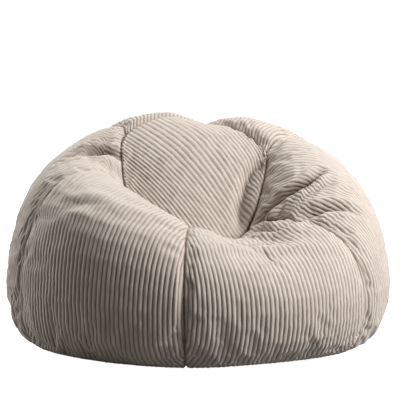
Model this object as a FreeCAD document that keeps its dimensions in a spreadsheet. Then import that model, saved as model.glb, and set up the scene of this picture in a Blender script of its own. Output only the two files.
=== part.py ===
"""Bean bag chair in wide-wale cord, built as it is sewn, in millimetres, +Z up.

The chair stands on the origin and faces -Y.  A cover of six tapered side
panels, a six-sided top panel and a base in two halves holds a thin liner of
the same pattern, and the liner holds the bead filling.  Both bases close with
a coil zip that runs from the front corner to the back corner.

The slumped outer form is one surface.  Twelve stations round the chair give
its outline from the base edge, round the belly and over the rim, and a ring
of twelve points gives the edge of the top panel, which has sunk to line the
seat.  Every soft layer is that surface, set inwards by its own depth.
"""
import FreeCAD, Part

import math
import os
import re
from collections import namedtuple

import Sketcher
from FreeCAD import Vector

doc = FreeCAD.newDocument("bean_bag_chair")


# ---------------------------------------------------------------- driving dimensions

DIMENSIONS = [
    # the form
    ("base_corner_radius", 225),
    ("base_lift", 2.5),
    ("foot_radius", 352),
    ("belly_height", 128),
    ("top_bulge", 26),
    # cloth layers, each measured inwards from the outer form
    ("cover_thickness", 4),
    ("liner_depth", 6.5),
    ("liner_thickness", 1),
    ("fill_depth", 12.5),
    ("seam_gap", 1.2),
    # heights over the floor
    ("cover_floor", 0),
    ("liner_floor", 10),
    ("fill_floor", 28),
    # the coil zips, whose rows of coil lie under their tapes in a slit in the base
    ("zip_slit", 12),
    ("tape_thickness", 0.6),
    ("tape_width", 14),
    ("coil_inset", 1.1),
    ("coil_width", 2.6),
    ("coil_height", 2.2),
    ("stop_length", 2.4),
    ("cover_zip_length", 400),
    ("liner_zip_length", 340),
    ("tab_length", 14),
    ("tab_play", 0.3),
    # the sliders
    ("slider_length", 12),
    ("slider_width", 9.8),
    ("slider_nose_width", 7),
    ("slider_taper", 4),
    ("slider_plate", 0.7),
    ("slider_play", 0.3),
    ("slider_lip", 0.8),
    ("slider_lip_height", 1),
    ("slider_post_width", 1.4),
    ("slider_post_length", 2.6),
    ("slider_end_play", 1),
]

sheet = doc.addObject("Spreadsheet::Sheet", "dimensions")
for row, (alias, number) in enumerate(DIMENSIONS, start=1):
    sheet.set(f"A{row}", alias)
    sheet.set(f"B{row}", str(number))
    sheet.setAlias(f"B{row}", alias)
doc.recompute()


def size(alias):
    """A driving dimension, as a plain number."""
    return float(sheet.get(alias))


# ---------------------------------------------------------------- the slumped form

# Stations go round from the front, towards +X, 30 degrees apart.  Even ones are seams.
# foot_out is how much further out than foot_radius the part on the floor reaches.
Station = namedtuple("Station", "belly rim_radius rim_height shoulder foot_out")
STATIONS = [
    Station(415, 250, 290, 1.00, 2),  # front seam
    Station(424, 240, 246, 1.00, -12),  # low front right of the rim
    Station(430, 274, 288, 0.98, 24),  # right front seam
    Station(430, 268, 385, 0.94, 0),  # right arm
    Station(424, 235, 450, 0.92, 20),  # right back seam
    Station(417, 205, 484, 0.90, -2),
    Station(415, 195, 476, 0.92, 12),  # back seam
    Station(415, 205, 491, 0.90, -2),
    Station(422, 235, 473, 0.86, 20),  # left back seam
    Station(430, 275, 426, 0.86, 0),  # left arm
    Station(430, 285, 392, 0.92, 28),  # left front seam
    Station(422, 262, 350, 1.00, 10),
]

# The edge of the top panel at the same stations.  Even ones are its corners.
TOP_EDGE = [
    Vector(0, -118, 190),
    Vector(64, -90, 208),
    Vector(114, -42, 250),
    Vector(142, 15, 335),
    Vector(147, 70, 412),
    Vector(78, 127, 462),
    Vector(0, 165, 468),
    Vector(-88, 127, 490),
    Vector(-170, 62, 455),
    Vector(-174, 5, 392),
    Vector(-150, -48, 322),
    Vector(-82, -95, 245),
]

ROUND = len(STATIONS)
SIDE_ROWS = 19
SIDE_COLUMNS = 9
TOP_ROWS = 13
FINE_ROWS = 90  # steps along an outline, between its base and its top
STEP = 0.02  # how far apart a surface is sampled for its normal
SAME_WAY = 1  # both edges of a ruled face run the same way


def blend(before, here, after, beyond, t):
    """Catmull-Rom between here and after, for numbers or vectors."""
    line = here * 2 + (after - before) * t
    bend = before * 2 - here * 5 + after * 4 - beyond
    twist = here * 3 - before - after * 3 + beyond
    return (line + bend * (t * t) + twist * (t * t * t)) * 0.5


def around(values, s):
    """The value at s stations round the chair, smoothly between the given ones."""
    whole = math.floor(s)
    picked = [values[(whole + k) % ROUND] for k in (-1, 0, 1, 2)]
    return blend(*picked, s - whole)


def outward(s):
    """The level direction from the middle towards station s."""
    angle = s * 2 * math.pi / ROUND
    return Vector(math.sin(angle), -math.cos(angle), 0)


def base_radius(s):
    """The six-sided base's radius, with its corners on the even stations."""
    from_side = math.radians(abs((s % 2) - 1) * 30)
    return size("base_corner_radius") * math.cos(math.pi / 6) / math.cos(from_side)


def outline(s):
    """Points from the base edge to the top panel's edge, in order, at station s."""
    out = outward(s)
    up = Vector(0, 0, 1)
    belly = around([p.belly for p in STATIONS], s)
    rim_radius = around([p.rim_radius for p in STATIONS], s)
    rim_height = around([p.rim_height for p in STATIONS], s)
    shoulder = around([p.shoulder for p in STATIONS], s)
    foot = size("foot_radius") + around([p.foot_out for p in STATIONS], s)
    low = size("belly_height")
    lift = size("base_lift")
    edge = base_radius(s)
    points = [out * edge + up * lift, out * ((edge + foot) / 2) + up * lift]
    for step in range(7):  # up from the floor to the belly
        turn = math.radians(15 * step)
        reach = foot + (belly - foot) * math.sin(turn) ** 0.9
        points.append(out * reach + up * (lift + (low - lift) * (1 - math.cos(turn))))
    for step in range(1, 8):  # up and in from the belly to the rim
        turn = math.radians(90 * step / 7)
        reach = rim_radius + (belly - rim_radius) * math.cos(turn) ** (0.85 / shoulder)
        rise = (rim_height - low) * math.sin(turn) ** (0.95 / shoulder)
        points.append(out * reach + up * (low + rise))
    rim, end = points[-1], around(TOP_EDGE, s)
    span = (end - rim).Length
    away = (end - Vector(0, 25, 345)).normalize()
    first = rim - out * (span * 0.5)
    second = end + away * (span * 0.25) + up * (span * 0.35)
    for step in range(1, 7):  # over the rim and down into the seat
        t = step / 6
        points.append(
            rim * (1 - t) ** 3
            + first * (3 * t * (1 - t) ** 2)
            + second * (3 * t * t * (1 - t))
            + end * t**3
        )
    for _ in range(2):
        middle = [
            (a + b * 2 + c) * 0.25 for a, b, c in zip(points, points[1:], points[2:])
        ]
        points = [points[0], points[1], *middle[1:], points[-1]]
    return points


def evenly(points, count):
    """count points along the line through points, the same distance apart."""
    along = [0.0]
    for a, b in zip(points, points[1:]):
        along.append(along[-1] + (b - a).Length)
    picked, k = [], 0
    for n in range(count):
        at = along[-1] * n / (count - 1)
        while k < len(points) - 2 and along[k + 1] < at:
            k += 1
        share = (at - along[k]) / (along[k + 1] - along[k])
        picked.append(points[k] + (points[k + 1] - points[k]) * share)
    return picked


outlines = {}


def side_point(s, v):
    """The outer form at station s, from v = 0 at the base edge to 1 at the top panel."""
    key = round(s % ROUND, 6)
    if key not in outlines:
        outlines[key] = evenly(outline(key), FINE_ROWS + 1)
    place = min(max(v, 0.0), 1.0) * FINE_ROWS
    whole = min(int(place), FINE_ROWS - 1)
    a, b = outlines[key][whole], outlines[key][whole + 1]
    return a + (b - a) * (place - whole)


def top_point(u, t):
    """The top panel: u runs along its ribs and t across them, each from 0 to 1."""
    front, back = around(TOP_EDGE, 10 + 2 * u), around(TOP_EDGE, 6 - 2 * u)
    left, right = around(TOP_EDGE, 10 - 4 * t), around(TOP_EDGE, 4 * t)
    corners = [around(TOP_EDGE, s) for s in (10, 0, 6, 4)]
    sides = front * (1 - t) + back * t + left * (1 - u) + right * u
    twice = corners[0] * ((1 - u) * (1 - t)) + corners[1] * (u * (1 - t))
    twice += corners[2] * ((1 - u) * t) + corners[3] * (u * t)
    swell = size("top_bulge") * math.sin(math.pi * u) * math.sin(math.pi * t)
    return sides - twice + Vector(0, -0.7, 0.7) * swell


def top_place(s):
    """The (u, t) of the top panel's edge at station s."""
    s = s % ROUND
    if s >= 10:
        return (s - 10) / 2, 0.0
    if s <= 4:
        return 1.0, s / 4
    if s < 6:
        return (6 - s) / 2, 1.0
    return 0.0, (10 - s) / 4


def facing(point, a, b):
    """The unit normal of a surface given as point(a, b)."""
    along = point(a + STEP, b) - point(a - STEP, b)
    across = point(a, b + STEP) - point(a, b - STEP)
    return along.cross(across).normalize()


def top_station(u, t):
    """The station of a point on the top panel's edge, the reverse of top_place."""
    if t <= 0:
        return 10 + 2 * u
    if u >= 1:
        return 4 * t
    if t >= 1:
        return 6 - 2 * u
    return 10 - 4 * t


def top_facing(u, t):
    """The top panel's outward normal, taken a little inside its edges."""
    inset = 2 * STEP
    return facing(
        top_point,
        min(max(u, inset), 1 - inset),
        min(max(t, inset), 1 - inset),
    )


def edge_facing(s):
    """The shared normal where the side panels meet the top panel."""
    side = facing(side_point, s, 1 - STEP)
    return (side + top_facing(*top_place(s))).normalize()


def side_facing(s, v):
    """The side's outward normal, straight down at the base edge."""
    if v <= 0:
        return Vector(0, 0, -1)
    if v >= 1:
        return edge_facing(s)
    return facing(side_point, s, v)


def inside(point, normal, depth, floor):
    """A point set inwards by depth, and never under floor."""
    moved = point - normal * depth
    return Vector(moved.x, moved.y, max(moved.z, floor))


# ---------------------------------------------------------------- soft panels

PANELS = ["front_right", "right", "back_right", "back_left", "left", "front_left"]


def patch(grid):
    """A smooth face through a grid of points."""
    surface = Part.BSplineSurface()
    surface.interpolate(grid)
    return surface.toShape()


def closed_panel(outer, inner):
    """A cloth panel: a face through each grid, with its four edges closed."""
    faces = [patch(outer), patch(inner)]
    for a, b in zip(faces[0].Edges, faces[1].Edges):
        faces.append(Part.makeRuledSurface(a, b, SAME_WAY))
    shell = Part.makeShell([f for face in faces for f in face.Faces])
    shell.sewShape()
    solid = Part.makeSolid(shell)
    if solid.Volume < 0:
        solid.reverse()
    return solid


def soft_part(name, shape):
    """A document object that holds one soft piece."""
    part = doc.addObject("Part::Feature", name)
    part.Shape = shape
    part.Label = name
    part.Placement = FreeCAD.Placement(Vector(0, 0, 0), FreeCAD.Rotation())
    return part


def side_grid(first, depth, floor):
    """The points of one side panel at a depth, clear of its neighbours' edges."""
    grid = []
    for column in range(SIDE_COLUMNS):
        share = column / (SIDE_COLUMNS - 1)
        line = []
        for row in range(SIDE_ROWS):
            v = row / (SIDE_ROWS - 1)
            width = (side_point(first + 2, v) - side_point(first, v)).Length
            gap = size("seam_gap") / width
            s = first + 2 * (gap + (1 - 2 * gap) * share)
            line.append(inside(side_point(s, v), side_facing(s, v), depth, floor))
        grid.append(line)
    return grid


def top_grid(depth):
    """The points of the top panel at a depth, clear of the side panels' edges."""
    gap = 4 * size("seam_gap") / (TOP_EDGE[8] - TOP_EDGE[2]).Length
    grid = []
    for column in range(TOP_ROWS):
        u = column / (TOP_ROWS - 1)
        line = []
        for row in range(TOP_ROWS):
            t = row / (TOP_ROWS - 1)
            at_edge = u in (0, 1) or t in (0, 1)
            normal = edge_facing(top_station(u, t)) if at_edge else top_facing(u, t)
            point = top_point(gap + (1 - 2 * gap) * u, gap + (1 - 2 * gap) * t)
            line.append(point - normal * depth)
        grid.append(line)
    return grid


def curved_panels(prefix, depth, thickness, floor):
    """The six side panels and the top panel of the cover or the liner."""
    lift = floor + size("base_lift")
    for k, place in enumerate(PANELS):
        outer = side_grid(2 * k, depth, lift)
        inner = side_grid(2 * k, depth + thickness, lift + thickness)
        soft_part(f"{prefix}_{place}_panel", closed_panel(outer, inner))
    top = closed_panel(top_grid(depth), top_grid(depth + thickness))
    soft_part(f"{prefix}_top_panel", top)


curved_panels("cover", 0, size("cover_thickness"), size("cover_floor"))
curved_panels("liner", size("liner_depth"), size("liner_thickness"), size("liner_floor"))


# ---------------------------------------------------------------- bead filling

RING_POINTS = 36
FILL_ROWS = 21
TOP_RINGS = (0.86, 0.66, 0.42)  # each a share of the top panel's width
LAST_RING = 0.16


def closed_curve(points):
    """A wire through a ring of points."""
    curve = Part.BSplineCurve()
    curve.interpolate(Points=points, PeriodicFlag=True)
    return Part.Wire(curve.toShape())


def top_ring(share, depth):
    """A ring of points on the top panel, drawn in towards its middle."""
    ring = []
    for k in range(RING_POINTS):
        u, t = top_place(k * ROUND / RING_POINTS)
        u, t = 0.5 + (u - 0.5) * share, 0.5 + (t - 0.5) * share
        ring.append(top_point(u, t) - top_facing(u, t) * depth)
    return ring


def filling():
    """The beads as one mass, with the seat pressed into it."""
    depth, floor = size("fill_depth"), size("fill_floor")
    rings = []
    stations = [k * ROUND / RING_POINTS for k in range(RING_POINTS)]
    for row in range(FILL_ROWS):
        v = row / (FILL_ROWS - 1)
        rings.append([inside(side_point(s, v), side_facing(s, v), depth, floor) for s in stations])
    rings[0] = [Vector(p.x, p.y, floor) for p in rings[0]]
    rings += [top_ring(share, depth) for share in TOP_RINGS]
    middle = top_point(0.5, 0.5) - top_facing(0.5, 0.5) * depth
    last = top_ring(LAST_RING, depth)
    rings.append([p.projectToPlane(middle, top_facing(0.5, 0.5)) for p in last])
    return Part.makeLoft([closed_curve(ring) for ring in rings], True, True)


soft_part("bead_filling", filling())


# ---------------------------------------------------------------- flat sewn and moulded parts


def bind(part, **expressions):
    """Bind properties to cells of the sheet; a double underscore stands for a dot."""
    for name, expression in expressions.items():
        part.setExpression(name.replace("__", "."), cells(expression))


def cells(expression):
    """An expression in the sheet's aliases, as another object of the document sees it."""
    aliases = dict(DIMENSIONS)

    def seen(word):
        return f"dimensions.{word[0]}" if word[0] in aliases else word[0]

    return re.sub(r"[a-z_]+", seen, expression)


def block(name, length, width, height, x, y, z):
    """A plain rectangular piece, with every size and place an expression."""
    part = doc.addObject("Part::Box", name)
    part.Label = name
    bind(part, Length=length, Width=width, Height=height)
    bind(part, Placement__Base__x=x, Placement__Base__y=y, Placement__Base__z=z)
    return part


def sketch_on(body, role, name, corners, offset="0"):
    """A closed outline on one of the body's own planes, each corner bound to the sheet."""
    sketch = body.newObject("Sketcher::SketchObject", name)
    plane = next(f for f in body.Origin.OriginFeatures if f.Role == role)
    sketch.AttachmentSupport = (plane, [""])
    sketch.MapMode = "FlatFace"
    bind(sketch, AttachmentOffset__Base__z=offset)
    places = [
        Vector(*(float(sheet.evalExpression(value)) for value in corner), 0)
        for corner in corners
    ]
    for a, b in zip(places, places[1:] + places[:1]):
        sketch.addGeometry(Part.LineSegment(a, b))
    for k, (corner, place) in enumerate(zip(corners, places)):
        sketch.addConstraint(Sketcher.Constraint("Coincident", k - 1 if k else len(places) - 1, 2, k, 1))
        for axis, value, number in zip("XY", corner, place):
            at = sketch.addConstraint(Sketcher.Constraint(f"Distance{axis}", -1, 1, k, 1, number))
            sketch.setExpression(f"Constraints[{at}]", cells(value))
    return sketch


def pad(body, name, sketch, length):
    """Material from a sketch, upwards."""
    feature = body.newObject("PartDesign::Pad", name)
    feature.Profile = sketch
    bind(feature, Length=length)
    return feature


def base_half(prefix, side_name, side, floor, thickness, inset):
    """Half of the six-sided base, from the slit to the flat side of the hexagon."""
    name = f"{prefix}_base_{side_name}_half"
    body = doc.addObject("PartDesign::Body", name)
    body.Label = name
    radius = f"(base_corner_radius - {inset})"
    flat = f"{side} * {radius} * cos(30)"
    slit = f"{side} * zip_slit / 2"
    reach = f"({radius} - zip_slit / 2 * tan(30))"
    corners = [
        (slit, f"-1 * {reach}"),
        (flat, f"-1 * {radius} / 2"),
        (flat, f"{radius} / 2"),
        (slit, reach),
    ]
    outline = sketch_on(body, "XY_Plane", f"{name}_outline", corners)
    pad(body, f"{name}_cloth", outline, thickness)
    bind(body, Placement__Base__z=floor)
    return body


def zip_block(name, side, wide, high, inset, length, bottom):
    """A piece that runs along the zip, on one side of it, centred on the chair."""
    left = inset if side > 0 else f"-1 * ({inset} + {wide})"
    return block(name, wide, length, high, left, f"-1 * {length} / 2", bottom)


def end_block(name, end, half_width, length, high, start, bottom):
    """A piece that lies across the zip beyond one of its ends."""
    near = start if end > 0 else f"-1 * ({start} + {length})"
    return block(name, f"2 * {half_width}", length, high, f"-1 * {half_width}", near, bottom)


def zip_rows(prefix, length, cloth_top):
    """Two tapes on top of the base cloth, with a row of coil under each tape's edge."""
    for side_name, side in (("right", 1), ("left", -1)):
        zip_block(
            f"{prefix}_zip_{side_name}_tape",
            side,
            "tape_width",
            "tape_thickness",
            "coil_inset",
            length,
            cloth_top,
        )
        zip_block(
            f"{prefix}_zip_{side_name}_coil",
            side,
            "coil_width",
            "coil_height",
            "coil_inset",
            length,
            f"{cloth_top} - coil_height",
        )
    for end_name, end in (("closed", 1), ("open", -1)):
        end_block(
            f"{prefix}_zip_{end_name}_stop",
            end,
            "(coil_inset + coil_width)",
            "stop_length",
            "coil_height",
            f"{length} / 2",
            f"{cloth_top} - coil_height",
        )


def slider(prefix, length, cloth_top):
    """A slider with no pull: two plates and a post, with a channel for coils and tapes."""
    name = f"{prefix}_zip_slider"
    body = doc.addObject("PartDesign::Body", name)
    body.Label = name
    gap = "(slider_play + coil_height + tape_thickness + slider_play)"
    tail, nose = "slider_width / 2", "slider_nose_width / 2"
    bend = "(slider_length - slider_taper)"
    plan = [
        (f"-1 * {tail}", "0"),
        (tail, "0"),
        (tail, bend),
        (nose, "slider_length"),
        (f"-1 * {nose}", "slider_length"),
        (f"-1 * {tail}", bend),
    ]
    outline = sketch_on(body, "XY_Plane", f"{name}_plan", plan)
    pad(body, f"{name}_block", outline, f"2 * slider_plate + {gap}")
    doc.recompute()
    whole = body.Shape.Volume

    roof = f"(slider_plate + {gap})"
    lip_top = "(slider_plate + slider_lip_height)"
    inner, outer = f"({tail} - slider_lip)", f"({tail} + 1)"
    mouth = [
        (f"-1 * {inner}", "slider_plate"),
        (inner, "slider_plate"),
        (inner, lip_top),
        (outer, lip_top),
        (outer, roof),
        (f"-1 * {outer}", roof),
        (f"-1 * {outer}", lip_top),
        (f"-1 * {inner}", lip_top),
    ]
    section = sketch_on(body, "XZ_Plane", f"{name}_channel_outline", mouth)
    channel = body.newObject("PartDesign::Pocket", f"{name}_channel")
    channel.Profile = section
    channel.Type = "ThroughAll"
    doc.recompute()
    if not body.Shape.Volume < 0.75 * whole:
        raise RuntimeError(f"{name}: the channel cuts too little")

    half_post = "slider_post_width / 2"
    start = "(slider_length - slider_post_length)"
    post = [
        (f"-1 * {half_post}", start),
        (half_post, start),
        (half_post, "slider_length"),
        (f"-1 * {half_post}", "slider_length"),
    ]
    foot = sketch_on(body, "XY_Plane", f"{name}_post_outline", post, "slider_plate")
    pad(body, f"{name}_post", foot, gap)
    rest = f"{length} / 2 - slider_length - slider_end_play"
    drop = f"{cloth_top} - coil_height - slider_play - slider_plate"
    bind(body, Placement__Base__y=rest, Placement__Base__z=drop)


def zipped_base(prefix, floor, thickness, inset, length):
    """A base in two halves, closed by its own zip."""
    for side_name, side in (("right", 1), ("left", -1)):
        base_half(prefix, side_name, side, floor, thickness, inset)
    cloth_top = f"({floor} + {thickness})"
    zip_rows(prefix, length, cloth_top)
    slider(prefix, length, cloth_top)


zipped_base("cover", "cover_floor", "cover_thickness", "seam_gap", "cover_zip_length")
zipped_base(
    "liner", "liner_floor", "liner_thickness", "(liner_depth + seam_gap)", "liner_zip_length"
)

# the cover's slit is closed beyond both ends of its zip by a tab of the cover's cloth
for end_name, end in (("rear", 1), ("front", -1)):
    end_block(
        f"cover_zip_{end_name}_tab",
        end,
        "(zip_slit / 2 - tab_play)",
        "tab_length",
        "cover_thickness",
        "cover_zip_length / 2 + stop_length + tab_play",
        "cover_floor",
    )


# ---------------------------------------------------------------- check and write

doc.recompute()
SUB_PART_TYPES = ("PartDesign::Body", "Part::Feature", "Part::Box")
sub_parts = [part for part in doc.Objects if part.TypeId in SUB_PART_TYPES]
faults = [
    f"{thing.Label} is {state}"
    for thing in doc.Objects
    for state in thing.State
    if state in ("Invalid", "Error")
]
for part in sub_parts:
    if part.Shape.isNull() or not part.Shape.isValid() or not part.Shape.Volume > 0:
        faults.append(f"{part.Label} has no sound shape")
if faults:
    raise RuntimeError("; ".join(faults))

os.makedirs("parts", exist_ok=True)
for part in sub_parts:
    part.Shape.exportStep(f"parts/{part.Label}.step")
print(len(sub_parts), "sub-parts written")
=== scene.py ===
import math

import bpy
import numpy as np
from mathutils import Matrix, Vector


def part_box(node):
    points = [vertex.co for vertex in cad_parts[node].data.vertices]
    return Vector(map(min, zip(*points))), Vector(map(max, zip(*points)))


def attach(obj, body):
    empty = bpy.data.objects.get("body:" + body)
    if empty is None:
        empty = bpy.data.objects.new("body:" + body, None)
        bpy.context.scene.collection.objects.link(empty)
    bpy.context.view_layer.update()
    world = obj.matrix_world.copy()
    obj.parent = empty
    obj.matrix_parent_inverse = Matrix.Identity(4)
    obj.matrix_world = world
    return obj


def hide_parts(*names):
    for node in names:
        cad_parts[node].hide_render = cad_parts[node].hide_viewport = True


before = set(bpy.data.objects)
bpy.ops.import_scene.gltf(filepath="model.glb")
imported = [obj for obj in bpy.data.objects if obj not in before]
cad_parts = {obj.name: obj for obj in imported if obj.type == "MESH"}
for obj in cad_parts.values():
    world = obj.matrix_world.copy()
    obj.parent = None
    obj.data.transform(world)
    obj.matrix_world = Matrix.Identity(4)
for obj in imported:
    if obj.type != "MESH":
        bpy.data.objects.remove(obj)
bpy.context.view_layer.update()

up = np.array([0.0, 0.0, 1.0])


# The camera comes first

view = {
    "azimuth": 4, "elevation": 8, "distance": 3.0,
    "target": (0, 0, 0.24), "lens": 119.5, "shift": (0.0038, 0.075),
}


def addCamera():
    a, e = math.radians(view["azimuth"]), math.radians(view["elevation"])
    back = Vector((math.sin(a) * math.cos(e), -math.cos(a) * math.cos(e), math.sin(e)))
    camera = bpy.data.objects.new("camera", bpy.data.cameras.new("camera"))
    camera.location = Vector(view["target"]) + back * view["distance"]
    camera.rotation_euler = back.to_track_quat("Z", "Y").to_euler()
    camera.data.lens = view["lens"]
    camera.data.sensor_width = 36
    camera.data.shift_x, camera.data.shift_y = view["shift"]
    bpy.context.scene.collection.objects.link(camera)
    bpy.context.scene.camera = camera


addCamera()
print("camera placed")


# The slumped form. Twelve stations go round from the front towards +X, 30 degrees apart:
# even stations are seams, odd ones are the middles of the six side panels.

form = {
    "belly": [.415, .424, .430, .430, .424, .417, .415, .415, .422, .430, .430, .422],
    "rimRadius": [.250, .240, .274, .268, .235, .205, .195, .205, .235, .275, .285, .262],
    "rimHeight": [.290, .246, .288, .385, .450, .484, .476, .491, .473, .426, .392, .350],
    "shoulder": [1.08, 1.0, .98, .94, .92, .90, .92, .90, .86, .86, .94, 1.22],
    "foot": [.354, .340, .376, .352, .372, .350, .364, .350, .372, .352, .380, .362],
    "bellyHeight": .128,
    "baseCorner": .225,      # corner radius of the six-sided base
    "lift": .0025,
    "topEdge": [
        (0, -.118, .190), (.064, -.090, .208), (.114, -.042, .250), (.142, .015, .335),
        (.147, .070, .412), (.078, .127, .462), (0, .165, .468), (-.088, .127, .490),
        (-.170, .062, .455), (-.174, .005, .392), (-.150, -.048, .322), (-.082, -.095, .245),
    ],
    "topBulge": .026, "bulgeTowards": (0, -.7, .7),
    "topMiddle": (0, .025, .345),
}


def catmull(before, here, after, beyond, t):
    line = 2 * here + (after - before) * t
    bend = (2 * before - 5 * here + 4 * after - beyond) * t ** 2
    return 0.5 * (line + bend + (3 * here - before - 3 * after + beyond) * t ** 3)


def around(values, s):
    # values at the twelve stations, read smoothly at any station s
    values = np.asarray(values, float)
    s = np.atleast_1d(np.asarray(s, float))
    whole = np.floor(s).astype(int)
    t = s - whole
    if values.ndim > 1:
        t = t[:, None]
    return catmull(*[values[(whole + k) % len(values)] for k in (-1, 0, 1, 2)], t)


def evenly(line, count):
    # count points along a polyline, the same distance apart
    along = np.r_[0, np.cumsum(np.linalg.norm(np.diff(line, axis=0), axis=1))]
    at = np.linspace(0, along[-1], count)
    return np.stack([np.interp(at, along, line[:, k]) for k in range(3)], 1)


def sideSurface(stations, rows):
    # points[k, j] at station k, from the base edge (j = 0) to the top panel's edge
    s = np.asarray(stations, float)
    angle = s * math.pi / 6
    out = np.stack([np.sin(angle), -np.cos(angle), 0 * angle], 1)
    keys = ("belly", "rimRadius", "rimHeight", "shoulder", "foot")
    belly, rimRadius, rimHeight, shoulder, foot = [around(form[k], s)[:, None] for k in keys]
    fromSide = np.radians(np.abs(s % 2 - 1) * 30)
    base = (form["baseCorner"] * math.cos(math.pi / 6) / np.cos(fromSide))[:, None]
    low, lift = form["bellyHeight"], form["lift"]
    points = [out * base + up * lift, out * (base + foot) / 2 + up * lift]
    for turn in np.radians(np.arange(0, 91, 15)):
        reach = foot + (belly - foot) * math.sin(turn) ** 0.9
        points.append(out * reach + up * (lift + (low - lift) * (1 - math.cos(turn))))
    for turn in np.linspace(0, math.pi / 2, 8)[1:]:
        reach = rimRadius + (belly - rimRadius) * max(math.cos(turn), 0) ** (0.85 / shoulder)
        rise = (rimHeight - low) * math.sin(turn) ** (0.95 / shoulder)
        points.append(out * reach + up * (low + rise))
    rim, end = points[-1], around(form["topEdge"], s)
    span = np.linalg.norm(end - rim, axis=1)[:, None]
    away = end - np.array(form["topMiddle"])
    away /= np.linalg.norm(away, axis=1)[:, None]
    first, second = rim - out * span * 0.5, end + (away * 0.25 + up * 0.35) * span
    for t in np.linspace(0, 1, 7)[1:]:
        bridge = 3 * t * (1 - t) ** 2 * first + 3 * t * t * (1 - t) * second
        points.append((1 - t) ** 3 * rim + bridge + t ** 3 * end)
    points = np.stack(points, 1)
    for _ in range(2):
        middle = (points[:, :-2] + 2 * points[:, 1:-1] + points[:, 2:]) / 4
        points = np.concatenate([points[:, :2], middle[:, 1:], points[:, -1:]], 1)
    return np.stack([evenly(line, rows) for line in points])


def topSurface(u, t):
    # the top panel: u runs along its ribs and t across them
    edge, uShare, tShare = form["topEdge"], u[:, None], t[:, None]
    sides = around(edge, 10 + 2 * u) * (1 - tShare) + around(edge, 6 - 2 * u) * tShare
    sides += around(edge, 10 - 4 * t) * (1 - uShare) + around(edge, 4 * t) * uShare
    corner = [np.array(edge[k]) for k in (10, 0, 6, 4)]
    twice = (corner[0] * (1 - uShare) + corner[1] * uShare) * (1 - tShare)
    twice += (corner[2] * (1 - uShare) + corner[3] * uShare) * tShare
    swell = form["topBulge"] * np.sin(math.pi * uShare) * np.sin(math.pi * tShare)
    return sides - twice + np.array(form["bulgeTowards"]) * swell


# One welded skin: rows run round the chair, and the top panel's grid shares the last row

skin = {"cells": 48, "rows": 85, "baseRings": 4}
cells, rows = skin["cells"], skin["rows"]
ring = 6 * cells


def weldSkin():
    side = sideSurface(np.arange(ring) * 12 / ring, rows)
    sideIndex = np.arange(ring * rows).reshape(ring, rows)
    points = [side.reshape(-1, 3)]
    count = ring * rows

    topIndex = np.full((cells + 1, 2 * cells + 1), -1)
    for a in range(cells + 1):
        topIndex[a, 0] = sideIndex[(5 * cells + a) % ring, -1]
        topIndex[a, -1] = sideIndex[3 * cells - a, -1]
    for b in range(2 * cells + 1):
        topIndex[0, b] = sideIndex[(5 * cells - b) % ring, -1]
        topIndex[-1, b] = sideIndex[b, -1]
    inner = np.argwhere(topIndex < 0)
    topIndex[tuple(inner.T)] = count + np.arange(len(inner))
    count += len(inner)
    points.append(topSurface(inner[:, 0] / cells, inner[:, 1] / (2 * cells)))

    rings = [sideIndex[:, 0]]
    for k in range(1, skin["baseRings"] + 1):
        share = 1 - k / (skin["baseRings"] + 1)
        points.append(side[:, 0] * [share, share, 1])
        rings.append(count + np.arange(ring))
        count += ring
    points.append(np.array([[0, 0, form["lift"]]]))

    following = np.roll(np.arange(ring), -1)
    quads = [gridQuads(np.vstack([sideIndex, sideIndex[:1]]))]
    quads.append(gridQuads(topIndex))
    for wide, narrow in zip(rings, rings[1:]):
        quads.append(np.stack([wide, narrow, narrow[following], wide[following]], 1))
    last = rings[-1]
    fan = np.stack([last, np.full(ring, count), last[following], last[following]], 1)
    return np.concatenate(points), np.concatenate(quads), fan[:, :3], sideIndex, topIndex


def gridQuads(index):
    corners = index[:-1, :-1], index[1:, :-1], index[1:, 1:], index[:-1, 1:]
    return np.stack([c.ravel() for c in corners], 1)


def vertexNormals(points, quads):
    a, b, c, d = (points[quads[:, k]] for k in range(4))
    cross = np.cross(c - a, d - b)
    normals = np.zeros_like(points)
    for k in range(4):
        np.add.at(normals, quads[:, k], cross)
    return normals / np.maximum(np.linalg.norm(normals, axis=1, keepdims=True), 1e-12)


def evenedOut(values, rounds):
    # the broad part of values over the skin, without what changes from point to point
    a = np.concatenate([skinQuads[:, k] for k in range(4)])
    b = np.concatenate([skinQuads[:, (k + 1) % 4] for k in range(4)])
    neighbours = np.bincount(a, minlength=len(values)) + np.bincount(b, minlength=len(values))
    for _ in range(rounds):
        total = [
            np.bincount(a, values[b, k], len(values)) + np.bincount(b, values[a, k], len(values))
            for k in range(3)
        ]
        values = np.stack(total, 1) / np.maximum(neighbours, 1)[:, None]
    return values


skinPoints, skinQuads, baseFan, sideIndex, topIndex = weldSkin()
print("form made", len(skinPoints), "points")


# Folds: each runs through points given as (station, height share) on the side panels,
# or as (u, t) on the top panel. A fold of negative depth is a ridge, and one of no depth
# only paints shadow into the pile's colour. Shade is how dark the painted shadow in a crease gets, and spread
# how wide in widths.

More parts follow.
